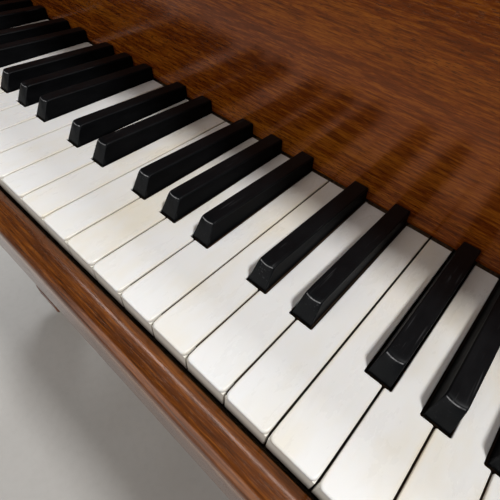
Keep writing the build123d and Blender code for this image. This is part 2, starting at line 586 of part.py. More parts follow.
NAMES = ["c", "c_sharp", "d", "d_sharp", "e", "f", "f_sharp", "g", "g_sharp", "a", "a_sharp", "b"]
ONE_FIRST, ONE_LAST = 32, 47            # F3 to G#4 have a node each
groups = {"bass_naturals": [], "bass_sharps": [], "treble_naturals": [], "treble_sharps": []}
for n in range(88):
    parts = white_key(n) if NOTES[n][2] else black_key(n)
    if ONE_FIRST <= n <= ONE_LAST:
        octave = (n + 9) // 12
        save(f"key_{NAMES[(n + 9) % 12]}{octave}", *parts)
    else:
        k = ("bass_" if n < ONE_FIRST else "treble_") + ("naturals" if NOTES[n][2] else "sharps")
        groups[k] += parts
for k, v in groups.items():
    save(k, *v)

# ---------------------------------------------------------------- key frame with its pins
kf = [box(-611, 611, KEY_Y0 + 6, KEY_Y0 + 96, Z_BED1 + 1, KEY_Z0 - 45),
      box(-625, 625, KEY_Y0 + 222, KEY_Y0 + 242, Z_BED1 + 1, KEY_Z0 - 26.5),
      box(-625, 625, KEY_Y0 + 365, KEY_Y0 + 398, Z_BED1 + 1, KEY_Z0 - 26.5)]
for x in (-610, -200, 200, 590):
    kf.append(box(x, x + 20, KEY_Y0 + 95, KEY_Y0 + 366, Z_BED1 + 1, Z_BED1 + 15))
kf.append(box(613, 625, KEY_Y0 + 241, KEY_Y0 + 366, Z_BED1 + 1, KEY_Z0 - 30))
kf.append(box(-625, -613, KEY_Y0 + 241, KEY_Y0 + 366, Z_BED1 + 1, KEY_Z0 - 30))
frame = kf[0]
for b in kf[1:]:
    frame = frame + b
kp = []
for n in range(88):
    kp.append(cyl(1.9, (SX[n], KEY_Y0 + PIVOT_Y, KEY_Z0 - 26.5), (SX[n], KEY_Y0 + PIVOT_Y, KEY_Z0 - 8)))
    fx = NOTES[n][3] + WHITE_PITCH / 2 if NOTES[n][2] else NOTES[n][3]
    fy = 25 if NOTES[n][2] else 75
    kp.append(cyl(1.8, (fx, KEY_Y0 + fy, KEY_Z0 - 45), (fx, KEY_Y0 + fy, KEY_Z0 - 22.5)))
save("key_frame", frame, *kp)

# ---------------------------------------------------------------- action: rails, brackets, wippens, hammers
ac = []
for s in (-1, 1):
    pr = [(222, -26.5), (398, -26.5), (398, 30), (396, 46), (330, 46), (315, 76), (285, 76), (275, 40), (240, 0)]
    ac.append(poly_x([local(y, z) for y, z in pr], 613 if s > 0 else -625, 625 if s > 0 else -613))
ac.append(box(-613, 613, KEY_Y0 + 286, KEY_Y0 + 300, KEY_Z0 + 66, KEY_Z0 + 76))
ac.append(box(-613, 613, KEY_Y0 + 383, KEY_Y0 + 395, KEY_Z0 + 30, KEY_Z0 + 44))
wip = poly_x([local(y, z) for y, z in ((300, 15), (384, 15), (394, 29), (384, 29.5), (376, 24), (326, 24), (322, 50), (314, 50), (312, 24), (300, 22))], -3.5, 3.5)
for n in range(88):
    ac.append(Pos(SX[n], 0, 0) * wip)
save("action", *ac)
hp = Face(Wire([Line((-4, 36), (4, 36)), Spline([(4, 36), (5.5, 62), (12.5, 76), (0, 88), (-12.5, 76), (-5.5, 62), (-4, 36)], tangents=[(0, 1), (0, -1)])]))
head = Plane(origin=(-4.8, KEY_Y0 + 430, KEY_Z0), x_dir=(0, 1, 0), z_dir=(1, 0, 0)) * extrude(hp, amount=9.6, dir=(0, 0, 1))
shank = cyl(2.6, (0, KEY_Y0 + 296, KEY_Z0 + 60), (0, KEY_Y0 + 430, KEY_Z0 + 52)) + box(-3.5, 3.5, KEY_Y0 + 286, KEY_Y0 + 304, KEY_Z0 + 56.2, KEY_Z0 + 66)
ham = head + shank
hs = []
for n in range(88):
    a = string_line(n)[0]
    hs.append(Pos(SX[n], 0, 0) * ham)
save("hammers", *hs)

# ---------------------------------------------------------------- dampers
dm = [box(-610, 640, -274, -265.5, 692, 704)]
for n in range(66):
    a, L_, z = string_line(n)
    c, s = deg(a)
    r = 2.0 if n < 10 else (1.3 if n < N_BASS else 0.55)
    xm = lambda y: SX[n] - (y - AGRAFFE_Y) * s / c
    zb = z + r + 0.3
    # the first heads of the plain strings are low, to lift clear of the wound strings that cross over them
    hh = 6.0 if N_BASS <= n < N_BASS + 5 else 12.0
    hd = poly_z([(xm(-262) - 4.6, -262), (xm(-262) + 4.6, -262), (xm(-236) + 4.6, -236), (xm(-236) - 4.6, -236)], zb, zb + hh)
    wx = xm(-270) + 6.6
    arm_ = box(xm(-262) - 4.6, wx + 1.4, -272, -258, zb + hh / 2 - 2, zb + hh - 2 + (1.8 if hh < 10 else 0))
    wire = cyl(0.9, (wx, -270, 704), (wx, -270, zb + hh / 2 - 1))
    dm.append(hd + arm_ + wire)
save("dampers", *dm)
print("done", len(os.listdir("parts")), "nodes")
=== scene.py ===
import math

import bmesh
import bpy
import numpy as np
from mathutils import Matrix, Vector


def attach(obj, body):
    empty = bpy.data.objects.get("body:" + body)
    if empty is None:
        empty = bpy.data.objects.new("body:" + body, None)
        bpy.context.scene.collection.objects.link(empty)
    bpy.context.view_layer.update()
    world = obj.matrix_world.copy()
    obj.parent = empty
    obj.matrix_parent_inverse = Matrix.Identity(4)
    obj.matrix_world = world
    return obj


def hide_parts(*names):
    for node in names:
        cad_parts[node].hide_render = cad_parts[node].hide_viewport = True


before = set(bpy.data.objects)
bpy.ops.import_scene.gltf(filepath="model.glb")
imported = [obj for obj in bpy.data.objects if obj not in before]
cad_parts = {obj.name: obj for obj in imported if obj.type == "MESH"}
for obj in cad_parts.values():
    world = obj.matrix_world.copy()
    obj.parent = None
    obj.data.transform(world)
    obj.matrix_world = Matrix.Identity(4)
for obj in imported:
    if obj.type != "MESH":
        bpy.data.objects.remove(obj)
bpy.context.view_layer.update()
scene = bpy.context.scene
MM = 0.001

# ------------------------------------------------------------------ camera
cam_data = bpy.data.cameras.new("camera")
cam = bpy.data.objects.new("camera", cam_data)
scene.collection.objects.link(cam)
right = Vector((0.74060, 0.66882, 0.06480)).normalized()
fwd = Vector((-0.39564, 0.51197, -0.76247)).normalized()
up = right.cross(fwd).normalized()
right = fwd.cross(up).normalized()
rot = Matrix((right, up, -fwd)).transposed()
cam.matrix_world = Matrix.Translation(Vector((0.01483, -0.76648, 0.88844))) @ rot.to_4x4()
cam_data.sensor_width = 36.0
cam_data.lens = 27.785
cam_data.clip_start = 0.005
cam_data.clip_end = 50.0
scene.camera = cam

# ------------------------------------------------------------------ key layout, as in the CAD
PITCH = 23.5
X0 = -PITCH * 26
KY, KZ = -725.0, 730.0
SHARP_OFF = {1: -2.7, 3: 2.0, 6: -3.1, 8: 0.0, 10: 3.1}
NAMES = ["c", "c_sharp", "d", "d_sharp", "e", "f", "f_sharp", "g", "g_sharp", "a", "a_sharp", "b"]
NOTES = []
_w = 0
for n in range(88):
    pc = (n + 9) % 12
    if pc in (0, 2, 4, 5, 7, 9, 11):
        NOTES.append((True, pc, X0 + _w * PITCH)); _w += 1
    else:
        NOTES.append((False, pc, X0 + _w * PITCH + SHARP_OFF[pc]))


def tail_range(n):
    x = NOTES[n][2]
    lo, hi = x + 0.5, x + PITCH - 0.5
    if n > 0 and not NOTES[n - 1][0]:
        lo = NOTES[n - 1][2] + 6.75
    if n < 87 and not NOTES[n + 1][0]:
        hi = NOTES[n + 1][2] - 6.75
    return lo, hi


# ------------------------------------------------------------------ node helpers
def new_mat(name):
    m = bpy.data.materials.new(name)
    m.use_nodes = True
    nt = m.node_tree
    nt.nodes.clear()
    out = nt.nodes.new("ShaderNodeOutputMaterial")
    bsdf = nt.nodes.new("ShaderNodeBsdfPrincipled")
    nt.links.new(bsdf.outputs[0], out.inputs[0])
    return m, nt, bsdf


class G:
    """Short calls for building node trees."""
    def __init__(self, nt):
        self.nt = nt
        self.co = nt.nodes.new("ShaderNodeTexCoord").outputs["Object"]

    def put(self, sock, v):
        if isinstance(v, bpy.types.NodeSocket):
            self.nt.links.new(v, sock)
        else:
            sock.default_value = v

    def map(self, scale=(1, 1, 1), loc=(0, 0, 0), rot=(0, 0, 0), vec=None):
        n = self.nt.nodes.new("ShaderNodeMapping")
        self.put(n.inputs[0], vec or self.co)
        n.inputs[1].default_value = loc
        n.inputs[2].default_value = rot
        n.inputs[3].default_value = scale
        return n.outputs[0]

    def noise(self, scale, detail=4.0, rough=0.55, vec=None, dist=0.0):
        n = self.nt.nodes.new("ShaderNodeTexNoise")
        self.put(n.inputs["Vector"], vec or self.co)
        n.inputs["Scale"].default_value = scale
        n.inputs["Detail"].default_value = detail
        n.inputs["Roughness"].default_value = rough
        n.inputs["Distortion"].default_value = dist
        return n.outputs[0]

    def voro(self, scale, vec=None, feature="F1", rand=1.0):
        n = self.nt.nodes.new("ShaderNodeTexVoronoi")
        n.feature = feature
        self.put(n.inputs["Vector"], vec or self.co)
        n.inputs["Scale"].default_value = scale
        n.inputs["Randomness"].default_value = rand
        return n.outputs[0]

    def ramp(self, fac, stops, interp="LINEAR"):
        n = self.nt.nodes.new("ShaderNodeValToRGB")
        n.color_ramp.interpolation = interp
        els = n.color_ramp.elements
        while len(els) > 1:
            els.remove(els[-1])
        for i, (p, c) in enumerate(stops):
            e = els[0] if i == 0 else els.new(p)
            e.position = p
            e.color = (*c, 1.0) if isinstance(c, tuple) else (c, c, c, 1.0)
        self.put(n.inputs[0], fac)
        return n.outputs[0]

    def math(self, op, a, b=0.0, c=0.0, clamp=False):
        n = self.nt.nodes.new("ShaderNodeMath")
        n.operation = op
        n.use_clamp = clamp
        self.put(n.inputs[0], a); self.put(n.inputs[1], b); self.put(n.inputs[2], c)
        return n.outputs[0]

    def mix(self, fac, a, b, mode="MIX"):
        n = self.nt.nodes.new("ShaderNodeMix")
        n.data_type = "RGBA"
        n.blend_type = mode
        self.put(n.inputs[0], fac)
        for s, v in ((n.inputs[6], a), (n.inputs[7], b)):
            self.put(s, (*v, 1.0) if isinstance(v, tuple) and len(v) == 3 else v)
        return n.outputs[2]

    def range(self, v, a, b, c=0.0, d=1.0):
        n = self.nt.nodes.new("ShaderNodeMapRange")
        self.put(n.inputs[0], v)
        for i, x in enumerate((a, b, c, d)):
            n.inputs[i + 1].default_value = x
        return n.outputs[0]

    def bump(self, height, strength, dist, normal=None):
        n = self.nt.nodes.new("ShaderNodeBump")
        n.inputs["Strength"].default_value = strength
        n.inputs["Distance"].default_value = dist
        self.put(n.inputs["Height"], height)
        if normal is not None:
            self.put(n.inputs["Normal"], normal)
        return n.outputs[0]

    def xyz(self, vec=None):
        n = self.nt.nodes.new("ShaderNodeSeparateXYZ")
        self.put(n.inputs[0], vec or self.co)
        return n.outputs


# ------------------------------------------------------------------ materials
def wood(name, dark, mid, light, grain="X", pore=(0.012, 0.003, 0.001), pores=0.8, rough=0.38, coat=0.55, coat_rough=0.2,
         band=5.0, seed=0.0, figure=1.0, edge=None, coat_ior=1.5, ior=1.45, tint=None, rvar=(0.05, 0.16), length=1.0):
    """Lacquered hardwood: long colour bands, fine streaks and short dark pores along the grain."""
    m, nt, b = new_mat(name)
    g = G(nt)
    along = ["XYZ".index(c) for c in grain]

    def stretch(k, loc=(0, 0, 0)):
        sc = [k if i in along else 1.0 for i in range(3)]
        return g.map(tuple(sc), loc=(loc[0] + seed, loc[1] + seed * 1.7, loc[2] + seed * 0.6))
    v = stretch(0.10)
    bands = g.noise(band * 5, 4.0, 0.6, v, 0.8)
    mid_b = g.noise(95.0, 5.0, 0.62, stretch(0.06, (0.3, 0.1, 0.7)), 0.5)
    streak = g.noise(620.0, 5.0, 0.66, stretch(0.075 / length, (0.9, 0.3, 0.1)), 0.4)
    fine = g.noise(1700.0, 3.0, 0.6, stretch(0.085 / length, (0.1, 0.8, 0.5)), 0.2)
    f = g.math("ADD", g.math("MULTIPLY", bands, 0.42), g.math("MULTIPLY", mid_b, 0.33))
    f = g.math("ADD", f, g.math("MULTIPLY", streak, 0.25))
    col = g.ramp(f, [(0.36, dark), (0.50, mid), (0.63, light)])
    # streaks: dark lines with brighter ones between
    k = g.math("ADD", g.math("MULTIPLY", g.range(streak, 0.32, 0.66), 0.6), g.math("MULTIPLY", g.range(fine, 0.32, 0.66), 0.4))
    col = g.mix(g.math("MULTIPLY", g.range(k, 0.50, 0.18), 0.80 * figure), col, tuple(0.34 * c for c in mid))
    col = g.mix(g.math("MULTIPLY", g.range(k, 0.56, 0.84), 0.62 * figure), col, tuple(1.25 * c for c in light))
    # pores: short dashes, in drifts
    p1 = g.noise(2300.0, 1.0, 0.5, stretch(0.10, (0.2, 0.5, 0.4)))
    thin = g.noise(34.0, 3.0, 0.6, v)
    pf = g.math("MULTIPLY", g.range(p1, 0.575, 0.655), g.range(thin, 0.38, 0.62, 0.25, 1.0))
    pf = g.math("MULTIPLY", pf, pores)
    col = g.mix(pf, col, pore)
    if edge is not None:
        col = edge(g, col)
    g.put(b.inputs["Base Color"], col)
    r = g.noise(34.0, 4.0, 0.6)
    g.put(b.inputs["Roughness"], g.range(g.math("ADD", r, g.math("MULTIPLY", pf, 0.5)), 0.3, 1.0, rough - rvar[0], rough + rvar[1]))
    b.inputs["IOR"].default_value = ior
    b.inputs["Specular IOR Level"].default_value = 0.5 if tint else 0.5 - 0.35 * coat
    if tint:
        b.inputs["Specular Tint"].default_value = (*tint, 1.0)
    b.inputs["Coat Weight"].default_value = coat
    b.inputs["Coat Roughness"].default_value = coat_rough
    b.inputs["Coat IOR"].default_value = coat_ior
    h = g.math("SUBTRACT", g.math("MULTIPLY", k, 0.5), g.math("MULTIPLY", pf, 1.0))
    g.put(b.inputs["Normal"], g.bump(h, 0.25, 0.00012))
    # the lacquer follows the grain a little
    g.put(b.inputs["Coat Normal"], g.bump(g.math("ADD", g.math("MULTIPLY", k, 0.7), g.math("MULTIPLY", g.noise(55.0, 3.0, 0.5, v), 1.4)), 0.12, 0.00022))
    return m


FB_DARK, FB_MID, FB_LIGHT = (0.075, 0.0130, 0.0018), (0.155, 0.0350, 0.0045), (0.265, 0.0820, 0.0100)
M_FB = wood("fallboard_veneer", (0.058, 0.0088, 0.0008), (0.122, 0.0240, 0.0018), (0.230, 0.0680, 0.0050), "X", seed=0.0, coat=0.08, coat_rough=0.10, rough=0.13, ior=1.72, tint=(1.0, 0.35, 0.15), rvar=(0.03, 0.10))
M_CASE_X = wood("veneer_x", FB_DARK, FB_MID, FB_LIGHT, "X", seed=0.0)
M_CASE_Y = wood("veneer_y", FB_DARK, FB_MID, FB_LIGHT, "Y", seed=3.1)
M_CASE_Z = wood("veneer_z", FB_DARK, FB_MID, FB_LIGHT, "Z", seed=5.3)
M_RIM = wood("veneer_rim", FB_DARK, FB_MID, FB_LIGHT, "XY", seed=8.9)


def stained_front(y_edge):
    """Raw beech, but stained and lacquered as the case on the face towards the player."""
    def f(g, col):
        x = g.xyz()
        n = g.noise(300.0, 4.0, 0.6, g.map((0.06, 1.0, 1.0)))
        tone = g.ramp(n, [(0.36, FB_DARK), (0.52, FB_MID), (0.68, FB_LIGHT)])
        return g.mix(g.range(x[1], y_edge, y_edge + 0.0015, 1.0, 0.0), col, tone)
    return f


M_BED = wood("keybed_beech", (0.36, 0.22, 0.12), (0.50, 0.33, 0.19), (0.62, 0.44, 0.27), "X", seed=1.9, coat=0.15, rough=0.55, pores=0.35, pore=(0.2, 0.1, 0.05), edge=stained_front(-0.7322))
M_RAILS = wood("rail_beech", (0.36, 0.22, 0.12), (0.50, 0.33, 0.19), (0.62, 0.44, 0.27), "X", seed=2.6, coat=0.15, rough=0.55, pores=0.35, pore=(0.2, 0.1, 0.05), edge=stained_front(-0.500))
def slip_edge(g, col):
    """The lower side of the slip's front edge is rubbed to bare golden wood, in places only."""
    x = g.xyz()
    n = g.noise(22.0, 4.0, 0.7, g.map((1.0, 0.5, 0.5)))
    z = g.math("ADD", x[2], g.math("MULTIPLY", g.math("SUBTRACT", n, 0.5), 0.004))
    at_front = g.range(x[1], -0.7440, -0.7436, 1.0, 0.0)
    line = g.math("MULTIPLY", g.math("MULTIPLY", g.range(z, 0.7128, 0.7140), g.range(z, 0.7172, 0.7158)), at_front)
    return g.mix(g.math("MULTIPLY", line, g.range(n, 0.34, 0.55, 0.15, 0.8)), col, (0.50, 0.20, 0.05))


M_SLIP = wood("slip_veneer", (0.046, 0.0105, 0.0010), (0.096, 0.0240, 0.0022), (0.175, 0.0540, 0.0060), "X", seed=7.7, rough=0.25, coat=0.25, coat_rough=0.15, coat_ior=1.5, ior=1.58, tint=(1.0, 0.62, 0.46), rvar=(0.04, 0.08), pores=0.5, length=1.6, edge=slip_edge)
M_BEECH = wood("plain_beech", (0.36, 0.22, 0.12), (0.50, 0.33, 0.19), (0.62, 0.44, 0.27), "X", seed=1.3, coat=0.0, rough=0.62, pores=0.35, pore=(0.2, 0.1, 0.05))
# key sticks made near-black brown: painted shade for the sticks, seen only in shade below the fronts and behind the
# tails
M_STICK_SHADED = wood("key_stick", (0.035, 0.016, 0.007), (0.060, 0.030, 0.013), (0.10, 0.052, 0.024), "Y", seed=2.1, coat=0.0, rough=0.7, pores=0.5, pore=(0.08, 0.035, 0.015))
M_MAPLE = wood("maple", (0.42, 0.28, 0.16), (0.56, 0.40, 0.25), (0.66, 0.50, 0.33), "Y", seed=4.2, coat=0.1, rough=0.5, pores=0.25, pore=(0.3, 0.18, 0.1))
M_SPRUCE = wood("spruce", (0.50, 0.31, 0.14), (0.66, 0.44, 0.22), (0.78, 0.57, 0.32), "Y", seed=6.0, coat=0.5, coat_rough=0.2, rough=0.45, pores=0.3, pore=(0.35, 0.2, 0.09), band=22.0)


def mat_white():
    """Moulded key tops: near white, yellowed in soft patches, with faint grey smears, rub marks, scratches and specks,
    and painted warm shade towards the back of the tails.
    """
    m, nt, b = new_mat("key_white_plastic")
    g = G(nt)
    base = (0.812, 0.810, 0.800)
    warm = (0.770, 0.715, 0.590)
    cool = (0.79, 0.80, 0.805)
    patch = g.noise(26.0, 4.0, 0.6, g.map((1.0, 0.45, 1.0), loc=(0.37, 0.1, 0.0)))
    col = g.mix(g.range(patch, 0.46, 0.68, 0.0, 0.85), base, warm)
    # each key has aged a little differently
    x = g.xyz()
    key = g.math("FLOOR", g.math("DIVIDE", g.math("ADD", x[0], 0.611), 0.0235))
    wn = nt.nodes.new("ShaderNodeTexWhiteNoise"); wn.noise_dimensions = "1D"
    g.put(wn.inputs["W"], key)
    col = g.mix(g.range(wn.outputs[0], 0.0, 1.0, 0.0, 0.55), col, cool)
    col = g.mix(g.math("MULTIPLY", g.range(wn.outputs[0], 0.35, 0.0, 0.0, 0.5), g.range(patch, 0.3, 0.7)), col, warm)
    # painted warm shade towards the back of the keys, standing in for the fallboard's shade on the tails, mottled by
    # noise
    tail_shade = g.range(x[1], -0.660, -0.585, 0.0, 1.0)
    tail_shade_noise = g.noise(120.0, 5.0, 0.65, g.map((1.0, 0.4, 1.0)))
    col = g.mix(g.math("MULTIPLY", g.math("MULTIPLY", tail_shade, tail_shade), g.range(tail_shade_noise, 0.2, 0.8, 0.10, 0.50)), col, (0.56, 0.475, 0.36))
    smear = g.noise(60.0, 6.0, 0.7, g.map((1.0, 0.30, 1.0), rot=(0, 0, 0.25)), 0.8)
    col = g.mix(g.range(smear, 0.56, 0.74, 0.0, 0.16), col, (0.55, 0.55, 0.53))
    # specks
    sp = g.voro(900.0, g.map((1, 1, 0.02)))
    spn = g.noise(45.0, 2.0)
    speck = g.math("MULTIPLY", g.range(sp, 0.10, 0.045), g.range(spn, 0.60, 0.68))
    col = g.mix(g.math("MULTIPLY", speck, 0.55), col, (0.20, 0.17, 0.13))
    # yellowish line along each edge of the top
    fx = g.math("FRACT", g.math("DIVIDE", g.math("ADD", x[0], 0.611), 0.0235))
    edge = g.math("MAXIMUM", g.range(fx, 0.10, 0.03), g.range(fx, 0.90, 0.97))
    en = g.noise(90.0, 3.0, 0.6, g.map((1, 0.3, 1)))
    col = g.mix(g.math("MULTIPLY", edge, g.range(en, 0.35, 0.7, 0.05, 0.45)), col, (0.74, 0.64, 0.44))
    g.put(b.inputs["Base Color"], col)
    rr = g.noise(75.0, 5.0, 0.65, g.map((1.0, 0.35, 1.0)))
    g.put(b.inputs["Roughness"], g.range(rr, 0.25, 0.8, 0.20, 0.42))
    b.inputs["IOR"].default_value = 1.49
    b.inputs["Subsurface Weight"].default_value = 0.12
    b.inputs["Subsurface Radius"].default_value = (1.0, 0.8, 0.6)
    b.inputs["Subsurface Scale"].default_value = 0.0012
    # hairline scratches, mostly along the key
    s1 = g.noise(900.0, 1.0, 0.5, g.map((1.0, 0.02, 1.0), rot=(0, 0, 0.12), loc=(0.1, 0, 0)))
    s2 = g.noise(700.0, 1.0, 0.5, g.map((1.0, 0.025, 1.0), rot=(0, 0, -0.55), loc=(0.5, 0, 0)))
    sm = g.noise(38.0, 2.0, 0.5)
    scr = g.math("MULTIPLY", g.math("MAXIMUM", g.range(s1, 0.66, 0.72), g.range(s2, 0.68, 0.74)), g.range(sm, 0.45, 0.62))
    h = g.math("ADD", g.math("MULTIPLY", g.noise(160.0, 3.0, 0.5), 0.5), g.math("MULTIPLY", scr, -0.9))
    g.put(b.inputs["Normal"], g.bump(h, 0.16, 0.00012))
    return m


def mat_front():
    """The naturals' moulded front faces, greyer and duller than the tops, with painted shade from the key slip
    darkening their lower part.
    """
    m, nt, b = new_mat("key_front_plastic")
    g = G(nt)
    n = g.noise(70.0, 4.0, 0.6)
    x = g.xyz()
    # painted shade: the lower part of each front is darkened where the key slip shades it
    slip_shade = g.range(x[2], 0.7170, 0.7240, 0.55, 0.0)
    col = g.mix(g.range(n, 0.35, 0.7), (0.79, 0.775, 0.70), (0.84, 0.825, 0.75))
    col = g.mix(g.math("MULTIPLY", slip_shade, g.range(n, 0.3, 0.7, 0.3, 1.0)), col, (0.33, 0.30, 0.24))
    g.put(b.inputs["Base Color"], col)
    g.put(b.inputs["Roughness"], g.range(n, 0.3, 0.7, 0.42, 0.58))
    g.put(b.inputs["Normal"], g.bump(g.noise(400.0, 3.0, 0.6), 0.12, 0.0001))
    return m


def mat_gap_shade():
    """The lower side of a natural's top, made dark brown: painted shade of the narrow gap between the naturals, with a
    brown tint of old glue.
    """
    m, nt, b = new_mat("key_gap_shade_and_glue")
    g = G(nt)
    n = g.noise(160.0, 4.0, 0.6, g.map((1.0, 0.3, 1.0)))
    g.put(b.inputs["Base Color"], g.ramp(n, [(0.35, (0.045, 0.020, 0.008)), (0.55, (0.085, 0.042, 0.018)), (0.7, (0.15, 0.085, 0.040))]))
    g.put(b.inputs["Roughness"], g.range(n, 0.3, 0.7, 0.55, 0.75))
    g.put(b.inputs["Normal"], g.bump(n, 0.2, 0.0001))
    return m


def mat_black():
    """Sharps: black moulded plastic, satin, with hairlines and dust specks; the light line along the crown is a painted
    highlight in a separate material.
    """
    m, nt, b = new_mat("key_black_plastic")
    g = G(nt)
    x = g.xyz()
    n = g.noise(150.0, 4.0, 0.6, g.map((1.0, 0.35, 1.0)))
    col = g.mix(g.range(n, 0.3, 0.7), (0.0024, 0.0029, 0.0036), (0.0048, 0.0055, 0.0066))
    # fine dust and specks
    sp = g.voro(700.0)
    spn = g.noise(60.0, 2.0)
    speck = g.math("MULTIPLY", g.range(sp, 0.13, 0.05), g.range(spn, 0.52, 0.60))
    s1 = g.noise(800.0, 1.0, 0.5, g.map((1.0, 0.03, 1.0), rot=(0, 0, 0.9)))
    s2 = g.noise(800.0, 1.0, 0.5, g.map((1.0, 0.03, 1.0), rot=(0, 0, -0.35)))
    sm = g.noise(42.0, 2.0, 0.5)
    scr = g.math("MULTIPLY", g.math("MAXIMUM", g.range(s1, 0.68, 0.73), g.range(s2, 0.68, 0.73)), g.range(sm, 0.44, 0.60))
    dust = g.math("MAXIMUM", speck, scr)
    col = g.mix(g.math("MULTIPLY", dust, 0.22), col, (0.12, 0.12, 0.125))
    g.put(b.inputs["Base Color"], col)
    g.put(b.inputs["Roughness"], g.math("ADD", g.range(n, 0.25, 0.75, 0.36, 0.48), g.math("MULTIPLY", dust, 0.2)))
    b.inputs["IOR"].default_value = 1.32
    b.inputs["Specular IOR Level"].default_value = 0.23
    h = g.math("ADD", g.math("MULTIPLY", g.noise(220.0, 3.0, 0.5), 0.6), g.math("MULTIPLY", scr, -0.8))
    g.put(b.inputs["Normal"], g.bump(h, 0.15, 0.00012))
    return m


def mat_black_side_shaded():
    """The sides of a sharp: a darker, duller copy of the sharp plastic, which paints shade on the sides."""
    m, nt, b = new_mat("key_black_side_shaded")
    g = G(nt)
    n = g.noise(180.0, 4.0, 0.6, g.map((1.0, 0.3, 1.0)))
    g.put(b.inputs["Base Color"], g.mix(g.range(n, 0.3, 0.7), (0.0020, 0.0022, 0.0026), (0.0045, 0.0048, 0.0055)))
    g.put(b.inputs["Roughness"], g.range(n, 0.25, 0.75, 0.42, 0.56))
    b.inputs["IOR"].default_value = 1.16
    b.inputs["Specular IOR Level"].default_value = 0.20
    g.put(b.inputs["Normal"], g.bump(g.noise(260.0, 3.0, 0.5), 0.1, 0.0001))
    return m


def mat_crease_highlight():
    """Painted highlight along the crease at the top of a sharp's front slope: a grey line that stands in for the glint
    of the lamps.
    """
    m, nt, b = new_mat("key_black_crease_highlight")
    g = G(nt)
    n = g.noise(500.0, 4.0, 0.6)
    col = g.mix(g.range(n, 0.35, 0.65), (0.06, 0.06, 0.063), (0.20, 0.20, 0.205))
    g.put(b.inputs["Base Color"], col)
    g.put(b.inputs["Roughness"], g.range(n, 0.3, 0.7, 0.30, 0.45))
    g.put(b.inputs["Normal"], g.bump(n, 0.1, 0.0001))
    return m


def metal(name, color, rough, dark=0.6, brushed=None, scale=60.0):
    m, nt, b = new_mat(name)
    g = G(nt)
    vec = g.map(brushed) if brushed else g.co
    n = g.noise(scale, 5.0, 0.6, vec)
    t = g.noise(9.0, 3.0, 0.6)
    col = g.mix(g.range(t, 0.4, 0.75, 0.0, 0.7), color, tuple(c * dark for c in color))
    g.put(b.inputs["Base Color"], col)
    b.inputs["Metallic"].default_value = 1.0
    g.put(b.inputs["Roughness"], g.range(n, 0.3, 0.7, rough - 0.06, rough + 0.10))
    g.put(b.inputs["Normal"], g.bump(n, 0.12, 0.0002))
    return m


def mat_plate():
    """Cast iron in bronze paint: a sandy cast grain under a metallic lacquer."""
    m, nt, b = new_mat("plate_bronze")
    g = G(nt)
    n = g.noise(420.0, 5.0, 0.65)
    t = g.noise(7.0, 3.0, 0.6)
    col = g.mix(g.range(t, 0.35, 0.7), (0.46, 0.30, 0.10), (0.62, 0.44, 0.17))
    col = g.mix(g.range(n, 0.62, 0.75, 0.0, 0.4), col, (0.25, 0.15, 0.05))
    g.put(b.inputs["Base Color"], col)
    b.inputs["Metallic"].default_value = 0.65
    g.put(b.inputs["Roughness"], g.range(n, 0.3, 0.7, 0.34, 0.52))
    b.inputs["Coat Weight"].default_value = 0.4
    b.inputs["Coat Roughness"].default_value = 0.2
    g.put(b.inputs["Normal"], g.bump(n, 0.35, 0.0006))
    return m


def mat_wound():
    """Copper winding: close rings along the string."""
    m, nt, b = new_mat("copper_winding")
    g = G(nt)
    x = g.xyz()
    w = g.math("SINE", g.math("MULTIPLY", x[1], 2 * math.pi / 0.0009))
    t = g.noise(14.0, 3.0, 0.6)
    col = g.mix(g.range(t, 0.35, 0.7), (0.62, 0.26, 0.12), (0.42, 0.17, 0.08))
    g.put(b.inputs["Base Color"], col)
    b.inputs["Metallic"].default_value = 1.0
    g.put(b.inputs["Roughness"], g.range(t, 0.3, 0.7, 0.28, 0.42))
    g.put(b.inputs["Normal"], g.bump(w, 0.5, 0.00025))
    return m


def mat_felt(name, c1, c2, wood_z=None):
    m, nt, b = new_mat(name)
    g = G(nt)
    n = g.noise(900.0, 5.0, 0.7)
    t = g.noise(60.0, 3.0, 0.6)
    col = g.mix(g.range(t, 0.35, 0.7), c1, c2)
    g.put(b.inputs["Base Color"], col)
    g.put(b.inputs["Roughness"], g.range(n, 0.3, 0.7, 0.75, 0.95))
    b.inputs["Sheen Weight"].default_value = 0.35
    b.inputs["Sheen Roughness"].default_value = 0.5
    g.put(b.inputs["Normal"], g.bump(n, 0.5, 0.0005))
    return m


def mat_floor():
    m, nt, b = new_mat("pale_floor")
    g = G(nt)
    n = g.noise(2.2, 5.0, 0.6)
    f = g.noise(60.0, 4.0, 0.6)
    col = g.mix(g.range(n, 0.3, 0.7), (0.60, 0.59, 0.57), (0.68, 0.67, 0.65))
    col = g.mix(g.range(f, 0.45, 0.7, 0.0, 0.12), col, (0.45, 0.44, 0.42))
    g.put(b.inputs["Base Color"], col)
    g.put(b.inputs["Roughness"], g.range(f, 0.3, 0.7, 0.55, 0.75))
    return m


M_WHITE, M_FRONT, M_BLACK, M_CREASE_HIGHLIGHT, M_GAP_SHADE, M_SIDE_SHADED = mat_white(), mat_front(), mat_black(), mat_crease_highlight(), mat_gap_shade(), mat_black_side_shaded()
M_BRASS = metal("brass", (0.70, 0.47, 0.17), 0.26, 0.62)
M_STEEL = metal("bright_steel", (0.60, 0.60, 0.61), 0.24, 0.7, scale=200.0)
M_PLATE, M_WOUND = mat_plate(), mat_wound()
M_DAMPER = mat_felt("damper_black_and_felt", (0.018, 0.016, 0.016), (0.03, 0.027, 0.026))
M_HAMMER = mat_felt("hammer_felt", (0.62, 0.57, 0.47), (0.70, 0.66, 0.57))
M_PINHOLE = None


def assign(node, *mats):
    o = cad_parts[node]
    o.data.materials.clear()
    for m in mats:
        o.data.materials.append(m)
    return o


def smooth(o, angle=35.0):
    me = o.data
    me.polygons.foreach_set("use_smooth", [True] * len(me.polygons))
    me.set_sharp_from_angle(angle=math.radians(angle))


